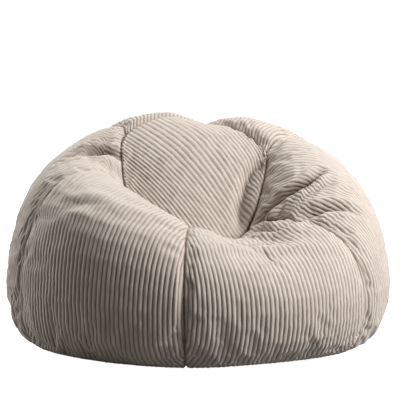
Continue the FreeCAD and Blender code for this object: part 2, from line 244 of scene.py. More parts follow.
folds = {
    "capValley": {"depth": .026, "width": .015, "bulge": .05, "top": [
        (.945, .90), (.89, .81), (.875, .72), (.885, .64), (.90, .57), (.93, .52), (.97, .47)]},
    "shoulderValley": {"depth": .014, "width": .011, "bulge": .15, "side": [
        (4.25, .85), (4.02, .905), (3.88, .945), (3.78, .975)]},
    "seatCrease": {"depth": .032, "width": .0085, "shade": 1.5, "spread": .85, "side": [
        (2.96, .805), (2.80, .823), (2.64, .842), (2.53, .868),
        (2.43, .893), (2.31, .915), (2.17, .935), (2.02, .955)]},
    "seatShadow": {"depth": 0, "width": .010, "shade": 1.4, "spread": .9, "side": [
        (2.80, .832), (2.64, .852), (2.53, .878), (2.43, .904), (2.31, .926), (2.17, .946), (2.06, .960)]},
    "cornerShadow": {"depth": 0, "width": .020, "shade": .75, "spread": 1, "side": [
        (2.34, .825), (2.12, .85), (1.96, .88), (1.82, .90), (1.70, .925)]},
    "rightTuck": {"depth": .023, "width": .012, "shade": 1.0, "spread": .6, "side": [
        (2.48, .67), (2.36, .72), (2.24, .753), (2.12, .78),
        (1.92, .793), (1.72, .81), (1.6, .84), (1.62, .91)]},
    "rightDimple": {"depth": .007, "width": .009, "side": [
        (2.85, .755), (2.64, .79), (2.48, .815)]},
    "pocketDeep": {"depth": .036, "width": .014, "shade": 1.6, "spread": .8, "side": [
        (9.42, .885), (9.2, .913), (9.08, .937), (8.97, .97)]},
    "pocketShadow": {"depth": 0, "width": .014, "shade": 1.3, "spread": 1, "side": [
        (9.22, .85), (9.14, .88), (9.06, .905), (9.04, .928), (8.97, .955), (8.90, .985)]},
    "pocketOuter": {"depth": .021, "width": .009, "side": [
        (9.46, .79), (9.4, .843), (9.36, .867), (9.28, .90)]},
    "pocketUpper": {"depth": .014, "width": .0078, "side": [
        (9.12, .85), (8.92, .897), (8.84, .92), (8.6, .965)]},
    "armRidge": {"depth": -.010, "width": .012, "side": [
        (9.2, .877), (9.48, .893), (9.48, .937), (9.24, .985)]},
    "armCrease": {"depth": .006, "width": .011, "side": [
        (10.32, .66), (10.28, .72), (10.28, .767), (10.24, .827)]},
    "frontDimple": {"depth": .006, "width": .013, "side": [
        (10.5, .63), (10.68, .66), (10.76, .67), (10.95, .675)]},
    "frontCrest": {"depth": -.006, "width": .015, "side": [
        (.1, .60), (.52, .67), (.8, .693), (1.2, .687), (1.44, .67), (1.7, .63)]},
    "leftCrest": {"depth": -.006, "width": .016, "side": [
        (10.7, .705), (11.0, .695), (11.32, .69), (11.72, .70), (11.95, .735)]},
    "frontHollow": {"depth": .007, "width": .022, "side": [
        (.3, .72), (.8, .773), (1.16, .773), (1.5, .77)]},
}


def alongPath(path, count=60):
    # a smooth line through the points of a path
    path = np.array(path, float)
    ends = [2 * path[0] - path[1]], [2 * path[-1] - path[-2]]
    path = np.concatenate([ends[0], path, ends[1]])
    at = np.linspace(0, len(path) - 3, count)
    whole = np.minimum(at.astype(int), len(path) - 4)
    return catmull(*[path[whole + k] for k in range(4)], (at - whole)[:, None])


def foldLine(fold):
    if "top" in fold:
        return topSurface(*alongPath(fold["top"]).T)
    at, steps = alongPath(fold["side"]), 200
    fine = sideSurface(at[:, 0], steps + 1)
    return fine[np.arange(len(at)), np.round(at[:, 1] * steps).astype(int)]


def foldDepth(points, loosen=1):
    # how far the folds press each point in, and how much painted shadow it gets in a fold's crease;
    # the layers under the cover take looser folds, without ridges
    total, paintedCreaseShadow = np.zeros(len(points)), np.zeros(len(points))
    for fold in folds.values():
        if loosen > 1 and fold["depth"] < 0:
            continue
        line = foldLine(fold)
        reach = fold["width"] * loosen * 4
        near = ((points > line.min(0) - reach) & (points < line.max(0) + reach)).all(1)
        if not near.any():
            continue
        gap = np.linalg.norm(points[near][:, None] - line[None], axis=2)
        share = np.sin(np.linspace(0.03, 0.97, len(line)) * math.pi)[gap.argmin(1)] ** 0.55
        away = gap.min(1) / (fold["width"] * loosen)
        depth = np.exp(-away ** 2)
        if loosen == 1:
            depth -= fold.get("bulge", 0.3) * np.exp(-((away - 2.0) / 0.8) ** 2)
        total[near] += fold["depth"] * share * depth
        # painted shadow: each fold darkens the pile's colour along its crease, whether or not it has depth
        shade = fold.get("shade", max(fold["depth"], 0) / 0.030)
        paintedCreaseShadow[near] += shade * share * np.exp(-(away / fold.get("spread", 0.45)) ** 2)
    return total[:, None], np.minimum(paintedCreaseShadow, 1)


# Cloth: the welded skin is sewn tight along its seams and has a little cloth to spare elsewhere

cloth = {
    "frames": 20, "pressure": 3, "stretch": 15, "bend": 0.5, "pointMass": 0.05,
    "spare": -0.04, "seamTight": 0.035, "hold": 0.13, "heldBelow": 0.02, "mostMove": 0.005,
    "quality": 5, "airDamping": 2, "evenOut": 60, "swellKept": 0.15, "topShare": 0.35, "calmRounds": 5,
}


def seamStrength(count):
    strength = np.zeros(count)
    for seam in range(6):
        for offset, value in ((-1, 0.5), (1, 0.5), (0, 1.0)):
            strength[sideIndex[(seam * cells + offset) % ring]] = value
    strength[sideIndex[:, -2]] = 0.5
    strength[sideIndex[:, -1]] = 1.0
    return strength


def settleCloth(points):
    mesh = bpy.data.meshes.new("skin")
    mesh.from_pydata(points.tolist(), [], skinQuads.tolist() + baseFan.tolist())
    piece = bpy.data.objects.new("skin", mesh)
    bpy.context.scene.collection.objects.link(piece)
    held = np.where(points[:, 2] < cloth["heldBelow"], 1.0, cloth["hold"])
    for name, strength in (("held", held), ("sewn", seamStrength(len(points)))):
        group = piece.vertex_groups.new(name=name)
        for value in np.unique(strength):
            group.add(np.flatnonzero(strength == value).tolist(), float(value), "REPLACE")
    modifier = piece.modifiers.new("cloth", "CLOTH")
    settings = modifier.settings
    settings.quality = cloth["quality"]
    settings.mass = cloth["pointMass"]
    settings.tension_stiffness = settings.compression_stiffness = cloth["stretch"]
    settings.bending_stiffness = cloth["bend"]
    settings.air_damping = cloth["airDamping"]
    settings.use_pressure = True
    settings.uniform_pressure_force = cloth["pressure"]
    settings.vertex_group_mass = "held"
    settings.pin_stiffness = 1
    settings.vertex_group_shrink = "sewn"
    settings.shrink_min, settings.shrink_max = cloth["spare"], cloth["seamTight"]
    settings.effector_weights.gravity = 0
    modifier.collision_settings.use_collision = False
    modifier.point_cache.frame_end = cloth["frames"] + 1
    scene = bpy.context.scene
    for step in range(1, cloth["frames"] + 1):
        scene.frame_set(step)
    settled = piece.evaluated_get(bpy.context.evaluated_depsgraph_get())
    found = np.zeros(len(points) * 3)
    settled.data.vertices.foreach_get("co", found)
    bpy.data.objects.remove(piece)
    bpy.data.meshes.remove(mesh)
    scene.frame_set(1)
    moved = found.reshape(-1, 3) - points
    moved -= evenedOut(moved, cloth["evenOut"]) * (1 - cloth["swellKept"])
    calm = np.ones((len(points), 3))
    calm[topIndex] = cloth["topShare"]
    moved *= evenedOut(calm, cloth["calmRounds"])
    length = np.linalg.norm(moved, axis=1, keepdims=True)
    return points + moved * np.minimum(1, cloth["mostMove"] / np.maximum(length, 1e-9))


# The ribbed cloth: wide-wale cord

cord = {
    "pitch": 0.010, "height": 0.0026, "columns": 6, "ribShare": 0.82, "roundness": 2.5,
    "wander": 0.035, "wanderLength": 0.06, "uneven": 0.16, "unevenLength": 0.022, "fuzz": 0.00022,
    "seamDepth": 0.0032, "seamWidth": 0.0028, "ribRunOut": 0.005, "thickness": 0.0034, "inset": 0.0025,
    "leastBacking": 0.0008,  # how much cloth is left under a seam
    "flatGroove": 0.25,      # how dark a groove stays where the pile is flattened
    "endSteps": (0, 0.0016, 0.0034, 0.0058, 0.009), "sideStep": 0.0050, "topStep": 0.0042,
    "sideLength": 0.73, "sideSamples": 193, "topLength": 0.34, "topRibs": 34, "evened": 2,
    # facing up the pile lies lower, and its grooves are painted lighter there, as painted light from the lamp
    # above filling them
    "pressedFlatAndToplit": 0.35,     # how much lower the pile is where it faces up
    "lean": 6,               # how many ribs the top panel's ribs drift forward on their way across it
    "brushed": [             # places, in metres, where the pile has been leaned on, with reach and share
        ((-.185, -.165, .355), .125, .80), ((-.225, -.05, .42), .070, .35), ((.27, .04, .40), .11, .35),
        ((-.03, .13, .47), .09, .25), ((.05, -.24, .25), .08, .30),
    ],
}


# Sewing pulls each seam in, and puckers the cloth beside it

seams = {
    "pull": [.0008, .0030, .0045, .0045, .0045, .0032], "topPull": .0030, "reach": .026,
    "pucker": .0017, "puckerLength": .034, "puckerReach": .022, "flatBeside": .006, "heldBelow": .03,
}


def waves(points, size, seed):
    # a soft, repeatable unevenness between -1 and 1
    random = np.random.default_rng(seed)
    total = 0
    for _ in range(5):
        direction = unit(random.normal(size=3)) * 2 * math.pi / (size * random.uniform(0.7, 1.6))
        total = total + np.sin(points @ direction + random.uniform(0, 2 * math.pi))
    return total / 5


def unit(vectors):
    return vectors / np.maximum(np.linalg.norm(vectors, axis=-1, keepdims=True), 1e-12)


def fading(gap, reach):
    # 1 at no gap, falling softly to nothing past the reach
    return np.exp(-(gap / reach) ** 2)


def runLength(grid, axis):
    # how far each point of a grid lies from the first one, measured along an axis
    first = np.take(grid, [0], axis)
    return np.cumsum(np.linalg.norm(np.diff(grid, axis=axis, prepend=first), axis=2), axis=axis)


def pullSeams(points, normals):
    side = points[sideIndex]
    widths = np.linalg.norm(np.roll(side, -1, axis=0) - side, axis=2).reshape(6, cells, rows)
    fromLeft = np.concatenate([np.zeros((6, 1, rows)), np.cumsum(widths, 1)], 1)
    fromRight = fromLeft[:, -1:] - fromLeft
    pull = np.array(seams["pull"])[:, None, None]
    depth = pull * fading(fromLeft, seams["reach"])
    depth += np.roll(pull, -1, axis=0) * fading(fromRight, seams["reach"])
    gap = np.minimum(fromLeft, fromRight)[:, :cells].reshape(ring, rows)
    lengths = runLength(side, 1)
    toTop = lengths[:, -1:] - lengths
    depth = depth[:, :cells].reshape(ring, rows) + seams["topPull"] * fading(toTop, seams["reach"])
    gap = np.minimum(gap, toTop)
    pucker = waves(side, seams["puckerLength"], 3) * fading(gap, seams["puckerReach"])
    depth += seams["pucker"] * pucker * (1 - fading(gap, seams["flatBeside"]))
    depth *= np.clip(side[:, :, 2] / seams["heldBelow"], 0, 1)
    moved = points.copy()
    moved[sideIndex] -= normals[sideIndex] * depth[:, :, None]
    return moved


normals = vertexNormals(skinPoints, skinQuads)
skinPoints = pullSeams(skinPoints, normals)
skinPoints = settleCloth(skinPoints)
skinPoints -= vertexNormals(skinPoints, skinQuads) * cord["inset"]
normals = unit(evenedOut(vertexNormals(skinPoints, skinQuads), cord["evened"]))
print("skin sewn and settled")


# Reading the skin between its points

def readAt(values, at):
    # values along the first axis, read smoothly at fractional places
    padded = np.concatenate([2 * values[:1] - values[1:2], values, 2 * values[-1:] - values[-2:-1]])
    whole = np.clip(np.floor(at).astype(int), 0, len(values) - 2)
    t = (at - whole).reshape((-1,) + (1,) * (values.ndim - 1))
    return catmull(*[padded[whole + k] for k in range(4)], t)


def readGrid(grid, first, second):
    across = readAt(grid, first)
    return readAt(across.swapaxes(0, 1), second).swapaxes(0, 1)


def sidePatch(panel, samples, heights, layer=(skinPoints, normals)):
    # points and normals of one side panel, with its neighbours' cells read past both seams
    pad = 2
    columns = (np.arange(-pad, cells + pad + 1) + panel * cells) % ring
    index = sideIndex[columns]
    first = pad + np.linspace(0, cells, samples)
    second = heights * (rows - 1)
    return [readGrid(v[index], first, second) for v in layer]


def topPatch(u, t, layer=(skinPoints, normals)):
    return [readGrid(v[topIndex], u * cells, t * 2 * cells) for v in layer]


def folded(points, facing):
    # a patch with the folds pressed in, its new normals, facing as before, and the painted shadow of its
    # creases
    facing = unit(facing)
    leastDepth = 0.0002      # below this the skin's own normals stay
    depth, paintedCreaseShadow = foldDepth(points.reshape(-1, 3))
    depth = depth.reshape(points.shape[:2] + (1,))
    points = points - facing * depth
    turned = unit(np.cross(np.gradient(points, axis=0), np.gradient(points, axis=1)))
    turned *= np.sign((turned * facing).sum(2, keepdims=True))
    turned = np.where(np.abs(depth) > leastDepth, turned, facing)
    for edge in (np.s_[0], np.s_[-1], np.s_[:, 0], np.s_[:, -1]):
        turned[edge] = facing[edge]      # both panels at a seam face the same way
    return points, turned, paintedCreaseShadow.reshape(points.shape[:2])


# Making closed meshes from grids

def tidyFaces(quads):
    # quads whose corners have run together become triangles, or go
    same = (quads == np.roll(quads, -1, axis=1)).any(1)
    faces = quads[~same].tolist()
    for quad in quads[same].tolist():
        corners = [v for k, v in enumerate(quad) if v != quad[k - 1]]
        if len(set(corners)) > 2:
            faces.append(corners)
    return faces


def boundaryEdges(faces):
    used = {}
    for face in faces:
        for k, corner in enumerate(face):
            used[face[k - 1], corner] = True
    return [edge for edge in used if (edge[1], edge[0]) not in used]


def shellMesh(name, outer, inner, quads, attributes=()):
    # outer and inner are points of the same grid; quads join them; the rim between them is closed
    faces = tidyFaces(quads)
    rim = boundaryEdges(faces)
    count = len(outer)
    allFaces = faces + [[v + count for v in reversed(face)] for face in faces]
    allFaces += [[b, a, a + count, b + count] for a, b in rim]
    return meshObject(name, np.concatenate([outer, inner]), allFaces, attributes)


def meshObject(name, points, faces, attributes=()):
    used = np.zeros(len(points), bool)
    used[np.concatenate([np.asarray(f) for f in faces]) if len(faces) else []] = True
    newIndex = np.cumsum(used) - 1
    faces = [[int(newIndex[v]) for v in face] for face in faces]
    mesh = bpy.data.meshes.new(name)
    mesh.from_pydata(np.asarray(points)[used].tolist(), [], faces)
    for label, kind, values in attributes:
        values = np.asarray(values, np.float32)
        values = np.concatenate([values, values])[: len(points)][used]
        attribute = mesh.attributes.new(label, kind, "POINT")
        attribute.data.foreach_set("vector" if kind == "FLOAT_VECTOR" else "value", values.ravel())
    mesh.shade_smooth()
    mesh.validate()
    piece = bpy.data.objects.new(name, mesh)
    bpy.context.scene.collection.objects.link(piece)
    return piece


# The cover's panels, each ribbed and closed

def smooth(x):
    x = np.clip(x, 0, 1)
    return x * x * (3 - 2 * x)


def ribProfile(across):
    # the height of the pile, 0 in a groove to 1 on a rib, where across is in ribs from a rib's middle
    fromMiddle = 2 * np.abs(across - np.round(across))
    return np.sqrt(np.clip(1 - (fromMiddle / cord["ribShare"]) ** cord["roundness"], 0, 1))


def endShares(length, step):
    # places along a length, closer together near both ends
    near = np.array(cord["endSteps"])
    count = max(int((length - 2 * near[-1]) / step), 4)
    middle = np.linspace(near[-1], length - near[-1], count)
    return np.concatenate([near[:-1], middle, length - near[-2::-1]]) / length


def standingAndToplit(points, facing):
    # how far the pile stands up, 1 where nothing has flattened it; where it faces up it stands lower, and in
    # the colour this paints the grooves lighter, as painted light from above
    share = 1 - cord["pressedFlatAndToplit"] * np.clip(facing[:, 2], 0, 1)
    for place, reach, by in cord["brushed"]:
        away = np.linalg.norm(points - np.array(place), axis=-1)
        share = share * (1 - by * fading(away, reach))
    return share


def coverShell(name, points, facing, rib, seamGap, paintedCreaseShadow, coords, quads):
    fade = smooth(seamGap / cord["ribRunOut"])
    sink = cord["seamDepth"] * fading(seamGap, cord["seamWidth"])
    uneven = 1 + cord["uneven"] * waves(points, cord["unevenLength"], 5)
    fuzz = cord["fuzz"] * np.random.default_rng(len(points)).normal(size=len(points))
    standAndToplit = standingAndToplit(points, facing)
    lift = (1 - (1 - rib * fade) * standAndToplit) * uneven * cord["height"] - sink + fuzz * fade
    outer = points + facing * lift[:, None]
    inner = points - facing * np.maximum(cord["thickness"], sink + cord["leastBacking"])[:, None]
    # groove colour is lighter where the pile is flattened; the share from facing up is painted light from
    # above
    pile = 1 - (1 - rib * fade) * (cord["flatGroove"] + (1 - cord["flatGroove"]) * standAndToplit)
    return shellMesh(name, outer, inner, quads, [
        ("pile", "FLOAT", pile), ("paintedCreaseShadow", "FLOAT", paintedCreaseShadow), ("cloth", "FLOAT_VECTOR", coords),
    ])


def sidePanel(name, panel):
    samples, length = cord["sideSamples"], cord["sideLength"]
    shares = endShares(length, cord["sideStep"])
    points, facing, paintedCreaseShadow = folded(*sidePatch(panel, samples, shares))
    steps = np.linalg.norm(np.diff(points, axis=0), axis=2)
    arc = np.concatenate([np.zeros((1, len(shares))), np.cumsum(steps, axis=0)])
    arc -= arc[samples // 2]
    step = cord["pitch"] / cord["columns"]
    leastStep = step * 0.3   # a column closer to the seam than this joins it
    reach = int(np.ceil(np.abs(arc).max() / step)) + 1
    across = np.arange(-reach, reach + 1) * step
    outer, normal, gap, paintedShade, index = [], [], [], [], []
    columns = len(across)
    for j in range(len(shares)):
        low, high = arc[0, j], arc[-1, j]
        at = np.clip(across, low, high)
        place = np.interp(at, arc[:, j], np.arange(samples))
        whole = np.minimum(place.astype(int), samples - 2)
        part = (place - whole)[:, None]
        outer.append(points[whole, j] * (1 - part) + points[whole + 1, j] * part)
        normal.append(facing[whole, j] * (1 - part) + facing[whole + 1, j] * part)
        paintedShade.append(np.interp(place, np.arange(samples), paintedCreaseShadow[:, j]))
        endGap = min(shares[j], 1 - shares[j]) * length
        gap.append(np.minimum(np.minimum(at - low, high - at), endGap))
        kept = np.flatnonzero((across > low + leastStep) & (across < high - leastStep))
        column = np.clip(np.arange(columns), kept[0] - 1, kept[-1] + 1)
        index.append(column + j * columns)
    outer, normal, gap, paintedShade = [np.concatenate(v) for v in (outer, normal, gap, paintedShade)]
    normal = unit(normal)
    x = np.tile(across, len(shares))
    y = np.repeat(shares * length, columns)
    coords = np.stack([x + panel, y, 0 * x], 1)
    quads = gridQuads(np.array(index).T)
    wander = cord["wander"] * waves(outer, cord["wanderLength"], 7)
    return coverShell(name, outer, normal, ribProfile(x / cord["pitch"] + wander), gap, paintedShade, coords, quads)


def topPanel(name):
    ribs = cord["topRibs"]
    u = endShares(cord["topLength"], cord["topStep"])
    columns = np.arange(ribs * cord["columns"] + 1) / (ribs * cord["columns"])
    points, facing, paintedCreaseShadow = folded(*topPatch(u, columns))
    alongU, alongT = runLength(points, 0), runLength(points, 1)
    gap = np.minimum(np.minimum(alongU, alongU[-1:] - alongU), np.minimum(alongT, alongT[:, -1:] - alongT))
    wander = cord["wander"] * waves(points, cord["wanderLength"], 7)
    rib = ribProfile(columns * ribs + 0.5 + wander + cord["lean"] * u[:, None] ** 2)
    coords = np.stack([alongT + 7, alongU, 0 * alongU], 2)
    index = np.arange(points.shape[0] * points.shape[1]).reshape(points.shape[:2])
    flat = [v.reshape(-1, *v.shape[2:]) for v in (points, unit(facing), rib, gap, paintedCreaseShadow, coords)]
    return coverShell(name, *flat, gridQuads(index))


panelNames = ["front_right", "right", "back_right", "back_left", "left", "front_left"]
coverPieces = []
for number, place in enumerate(panelNames):
    piece = sidePanel(f"cord_{place}", number)
    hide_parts(f"cover_{place}_panel")
    coverPieces.append(piece)
piece = topPanel("cord_top")
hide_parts("cover_top_panel")
coverPieces.append(piece)
for piece in coverPieces:
    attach(piece, "root")
    print(piece.name, len(piece.data.polygons), "faces")


# The liner and the beads, which follow the cover's skin in looser folds

layers = {
    "liner": 0.0066, "linerThickness": 0.0006, "linerLoosen": 1.5, "wrinkle": 0.0004, "wrinkleSize": 0.035,
    "filling": 0.0125, "fillingLoosen": 1.9, "fillingFloor": 0.026, "evened": 6,
}


def layerUnder(depth, loosen):
    under = unit(evenedOut(normals, layers["evened"]))
    points = skinPoints - under * depth - normals * foldDepth(skinPoints, loosen)[0]
    return points, vertexNormals(points, skinQuads)


def linerShell(name, points, facing, coords, seed):
    shape = points.shape[:2]
    points, facing = points.reshape(-1, 3), unit(facing.reshape(-1, 3))
    outer = points + facing * (layers["wrinkle"] * waves(points, layers["wrinkleSize"], seed))[:, None]
    inner = outer - facing * layers["linerThickness"]
    quads = gridQuads(np.arange(len(points)).reshape(shape))
    return shellMesh(name, outer, inner, quads, [("cloth", "FLOAT_VECTOR", coords.reshape(-1, 3))])


def gridCoords(points, offset):
    acrossGrid, alongGrid = runLength(points, 0), runLength(points, 1)
    return np.stack([acrossGrid + offset, alongGrid, 0 * alongGrid], 2)


linerPieces = []
lining = layerUnder(layers["liner"], layers["linerLoosen"])
for number, place in enumerate(panelNames):
    points, facing = sidePatch(number, 49, np.linspace(0, 1, 85), lining)
    piece = linerShell(f"lining_{place}", points, facing, gridCoords(points, number), 20 + number)
    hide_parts(f"liner_{place}_panel")
    linerPieces.append(piece)
points, facing = topPatch(np.linspace(0, 1, 49), np.linspace(0, 1, 97), lining)
piece = linerShell("lining_top", points, facing, gridCoords(points, 7), 30)
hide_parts("liner_top_panel")
linerPieces.append(piece)


def beadFilling():
    points = layerUnder(layers["filling"], layers["fillingLoosen"])[0]
    low = points[:, 2] < layers["fillingFloor"]
    points[low, 2] = layers["fillingFloor"]
    return meshObject("beads", points, skinQuads.tolist() + baseFan.tolist())


beads = beadFilling()
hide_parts("bead_filling")
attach(beads, "root")
print("liner and beads made")


# The base and its zips

def place(node):
    low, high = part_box(node)
    return np.array(low), np.array(high)


flatCloth = {
    "columns": 26, "rows": 60, "edge": 0.0030, "edgeRise": 0.0012, "wave": 0.0003, "waveLength": 0.05,
    "fullWaveAt": 0.004,     # a thinner cloth than this waves less
    "stitchPitch": 0.0032, "stitchLength": 0.0024, "stitchRadius": 0.00032, "stitchInset": 0.0035,
}


def baseHalf(name, node, seed):
    # a trapezium of cloth with a hem along the slit, read from the node it stands for
    low, high = place(node)
    side = 1 if low[0] > 0 else -1
    slit, flat = sorted((abs(low[0]), abs(high[0])))
    reach = max(high[1], -low[1])
    a, b = np.meshgrid(
        endShares(flat - slit, (flat - slit) / flatCloth["columns"]),
        endShares(2 * reach, 2 * reach / flatCloth["rows"]), indexing="ij",
    )
    x = slit + (flat - slit) * a
    half = reach - (x - slit) * math.tan(math.radians(30))
    y = half * (2 * b - 1)
    edgeGap = np.minimum(np.minimum(x - slit, flat - x), half - np.abs(y))
    rise = flatCloth["edgeRise"] * fading(edgeGap, flatCloth["edge"])
    points = np.stack([side * x, y, 0 * x], 2).reshape(-1, 3)
    thickness = high[2] - low[2]
    rise = np.minimum(rise, thickness * 0.3)
    uneven = flatCloth["wave"] * (1 + waves(points, flatCloth["waveLength"], seed)).reshape(a.shape)
    uneven *= min(thickness / flatCloth["fullWaveAt"], 1)
    bottom = points + up * (low[2] + rise + uneven).reshape(-1, 1)
    top = points + up * (high[2] - rise).reshape(-1, 1)
    quads = gridQuads(np.arange(a.size).reshape(a.shape))
    if side > 0:
        quads = quads[:, ::-1]
    coords = np.stack([side * x + 9, y, 0 * x], 2).reshape(-1, 3)
    piece = shellMesh(name, bottom, top, quads, [("cloth", "FLOAT_VECTOR", coords)])
    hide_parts(node)
    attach(piece, "root")
    return piece


def strip(name, node, steps=160):
    # a flat woven tape with rounded edges
    low, high = place(node)
    across = np.array([0, .04, .12, .5, .88, .96, 1])
    a, b = np.meshgrid(across, np.linspace(0, 1, steps), indexing="ij")
    x, y = low[0] + (high[0] - low[0]) * a, low[1] + (high[1] - low[1]) * b
    middle, half = (low[2] + high[2]) / 2, (high[2] - low[2]) / 2
    bulge = half * (0.35 + 0.65 * np.clip(np.minimum(a, 1 - a) / .04, 0, 1) ** 0.5)
    points = np.stack([x, y, middle + 0 * x], 2).reshape(-1, 3)
    offset = up * bulge.reshape(-1, 1)
    coords = np.stack([x + 11, y, 0 * x], 2).reshape(-1, 3)
    quads = gridQuads(np.arange(a.size).reshape(a.shape))
    piece = shellMesh(name, points + offset, points - offset, quads, [("cloth", "FLOAT_VECTOR", coords)])
    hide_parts(node)
    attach(piece, "root")
    return piece


def sweep(paths, radius, sides=6):
    # round tubes along several lines, closed at both ends
    points, faces = [], []
    angle = np.arange(sides) * 2 * math.pi / sides
    for path in paths:
        path = np.asarray(path, float)
        tangent = unit(np.gradient(path, axis=0))
        first = unit(np.cross(tangent, np.where(np.abs(tangent[:, 2:]) > 0.9, [[1.0, 0, 0]], [up])))
        second = np.cross(tangent, first)
        rings = path[:, None] + radius * (
            np.cos(angle)[None, :, None] * first[:, None] + np.sin(angle)[None, :, None] * second[:, None]
        )
        start = sum(len(p) for p in points)
        index = start + np.arange(len(path) * sides).reshape(len(path), sides)
        faces += gridQuads(np.hstack([index, index[:, :1]])).tolist()
        faces += [index[0].tolist(), index[-1][::-1].tolist()]
        points.append(rings.reshape(-1, 3))
    return np.concatenate(points), faces


coil = {"pitch": 0.0016, "wire": 0.00034, "turnSteps": 12}


def coilRow(name, node):
    # a nylon coil wound along the tape's edge
    low, high = place(node)
    wire, middle = coil["wire"], (low + high) / 2
    turns = (high[1] - low[1] - 2 * wire) / coil["pitch"]
    t = np.linspace(0, turns, int(turns * coil["turnSteps"]))
    halfWide, halfHigh = (high[0] - low[0]) / 2 - wire, (high[2] - low[2]) / 2 - wire
    path = np.stack([
        middle[0] + halfWide * np.cos(2 * math.pi * t),
        low[1] + wire + coil["pitch"] * t,
        middle[2] + halfHigh * np.sin(2 * math.pi * t),
    ], 1)
    points, faces = sweep([path], wire, 5)
    piece = meshObject(name, points, faces)
    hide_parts(node)
    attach(piece, "root")
    return piece


def stitchRows(name, lines):
    # short stitches, one after another, along straight lines
    paths = []
    for start, end in lines:
        start, end = np.array(start), np.array(end)
        length = np.linalg.norm(end - start)
        for k in range(int(length / flatCloth["stitchPitch"])):
            near = start + (end - start) * k * flatCloth["stitchPitch"] / length
            far = near + (end - start) / length * flatCloth["stitchLength"]
            t = np.linspace(0, 1, 5)[:, None]
            dip = up * flatCloth["stitchRadius"] * (2 * np.abs(t - 0.5)) ** 3
            paths.append(near * (1 - t) + far * t + dip)
    points, faces = sweep(paths, flatCloth["stitchRadius"], 5)
    piece = meshObject(name, points, faces)
    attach(piece, "root")
    return piece


def foldedTab(name, node):
    # a folded tab of the base cloth across the slit
    low, high = place(node)
    middle, half = (low + high) / 2, (high - low) / 2
    angle = np.linspace(0, 2 * math.pi, 33)[:-1]
    power = 0.35
    across = np.sign(np.cos(angle)) * np.abs(np.cos(angle)) ** power
    tall = np.sign(np.sin(angle)) * np.abs(np.sin(angle)) ** power
    along = np.array([-1, -.985, -.94, -.85, -.5, 0, .5, .85, .94, .985, 1])
    shrink = np.array([.80, .90, .96, 1, 1, 1, 1, 1, .96, .90, .80])
    points = np.stack([
        middle[0] + half[0] * shrink[:, None] * across,
        middle[1] + half[1] * along[:, None] + 0 * across,
        middle[2] + half[2] * shrink[:, None] * tall,
    ], 2)
    index = np.arange(points.shape[0] * points.shape[1]).reshape(points.shape[:2])
    faces = gridQuads(np.hstack([index, index[:, :1]])).tolist()
    faces += [index[0].tolist(), index[-1][::-1].tolist()]
    points = points.reshape(-1, 3)
    coords = points + [13, 0, 0]
    piece = meshObject(name, points, faces, [("cloth", "FLOAT_VECTOR", coords)])
    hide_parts(node)
    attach(piece, "root")
    return piece


basePieces, tapes, coils = [], {"cover": [], "liner": []}, {"cover": [], "liner": []}
for layer in ("cover", "liner"):
    for side in ("left", "right"):
        half = baseHalf(f"{layer}_base_{side}", f"{layer}_base_{side}_half", 40)
        (basePieces if layer == "cover" else linerPieces).append(half)
        tapes[layer].append(strip(f"{layer}_tape_{side}", f"{layer}_zip_{side}_tape"))
        coils[layer].append(coilRow(f"{layer}_coil_{side}", f"{layer}_zip_{side}_coil"))
for end in ("front", "rear"):
    basePieces.append(foldedTab(f"zip_tab_{end}", f"cover_zip_{end}_tab"))

slitLow, slitHigh = place("cover_zip_right_tape")
seamLines = []
for side in (-1, 1):
    x = side * (place("cover_base_right_half")[0][0] + flatCloth["stitchInset"])
    seamLines.append(((x, slitLow[1], 0.0001), (x, slitHigh[1], 0.0001)))
stitches = stitchRows("zip_stitches", seamLines)
for piece in linerPieces:
    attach(piece, "root")
print("base and zips made")


# Effects that several materials use

def effect(name, sockets):
    # an empty node group with its inputs and outputs, as (name, kind, default) or (name, kind)
    group = bpy.data.node_groups.new(name, "ShaderNodeTree")
    for label, kind, *default in sockets["in"]:
        socket = group.interface.new_socket(name=label, in_out="INPUT", socket_type=f"NodeSocket{kind}")
        if default:
            socket.default_value = default[0]
    for label, kind in sockets["out"]:
        group.interface.new_socket(name=label, in_out="OUTPUT", socket_type=f"NodeSocket{kind}")
    given, result = group.nodes.new("NodeGroupInput"), group.nodes.new("NodeGroupOutput")
    return group, Wiring(group), given.outputs, result.inputs


